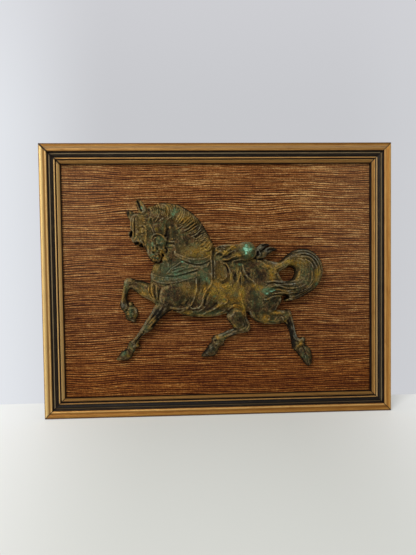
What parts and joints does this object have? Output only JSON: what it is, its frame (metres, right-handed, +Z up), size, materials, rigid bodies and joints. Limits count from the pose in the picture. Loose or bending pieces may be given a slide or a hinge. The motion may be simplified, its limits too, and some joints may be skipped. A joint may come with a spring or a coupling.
{
  "type": "framed relief wall plaque",
  "caption": "Framed wall plaque: a patinated brass relief of a prancing horse with saddle and straps on a grasscloth board, in a mitred gilt and black frame with hinged hanging rings.",
  "frame": {"origin": "middle of the underside of the bottom rail, in depth at the front of the grasscloth", "axes": "+X to the right of a viewer who faces the picture, +Y from the picture into the wall, +Z up"},
  "size_m": [0.4, 0.0338, 0.311],
  "materials": {
    "gilt_moulding": "gilt cap, bead and lip with a black cove, worn",
    "board": "raw hardboard",
    "grasscloth": "coarse reddish brown grass strands",
    "kraft_paper": "brown kraft paper",
    "patina_brass": "dark aged patina with ochre and verdigris",
    "steel": "plain",
    "plated_steel": "zinc plated",
    "bumper_rubber": "matt"
  },
  "bodies": {
    "plaque": {"frame_top_rail": "gilt_moulding", "frame_bottom_rail": "gilt_moulding", "frame_left_stile": "gilt_moulding", "frame_right_stile": "gilt_moulding", "corner_nails": "steel", "framers_points": "steel", "backing_board": "board", "grasscloth_facing": "grasscloth", "dust_cover": "kraft_paper", "horse_casting": "patina_brass", "horse_screws": "steel", "horse_washers": "steel", "left_strap_hanger": "plated_steel", "left_hanger_screws": "plated_steel", "left_wall_bumper": "bumper_rubber", "right_strap_hanger": "plated_steel", "right_hanger_screws": "plated_steel", "right_wall_bumper": "bumper_rubber"},
    "left_ring": {"left_d_ring": "plated_steel"},
    "right_ring": {"right_d_ring": "plated_steel"}
  },
  "joints": [
    {"name": "left_ring_swing", "type": "hinge", "parent": "plaque", "child": "left_ring", "pos_m": [-0.19, 0.01338, 0.2177], "axis": [1, 0, 0], "range_deg": [0, 172]},
    {"name": "right_ring_swing", "type": "hinge", "parent": "plaque", "child": "right_ring", "pos_m": [0.19, 0.01338, 0.2177], "axis": [1, 0, 0], "range_deg": [0, 172]}
  ]
}
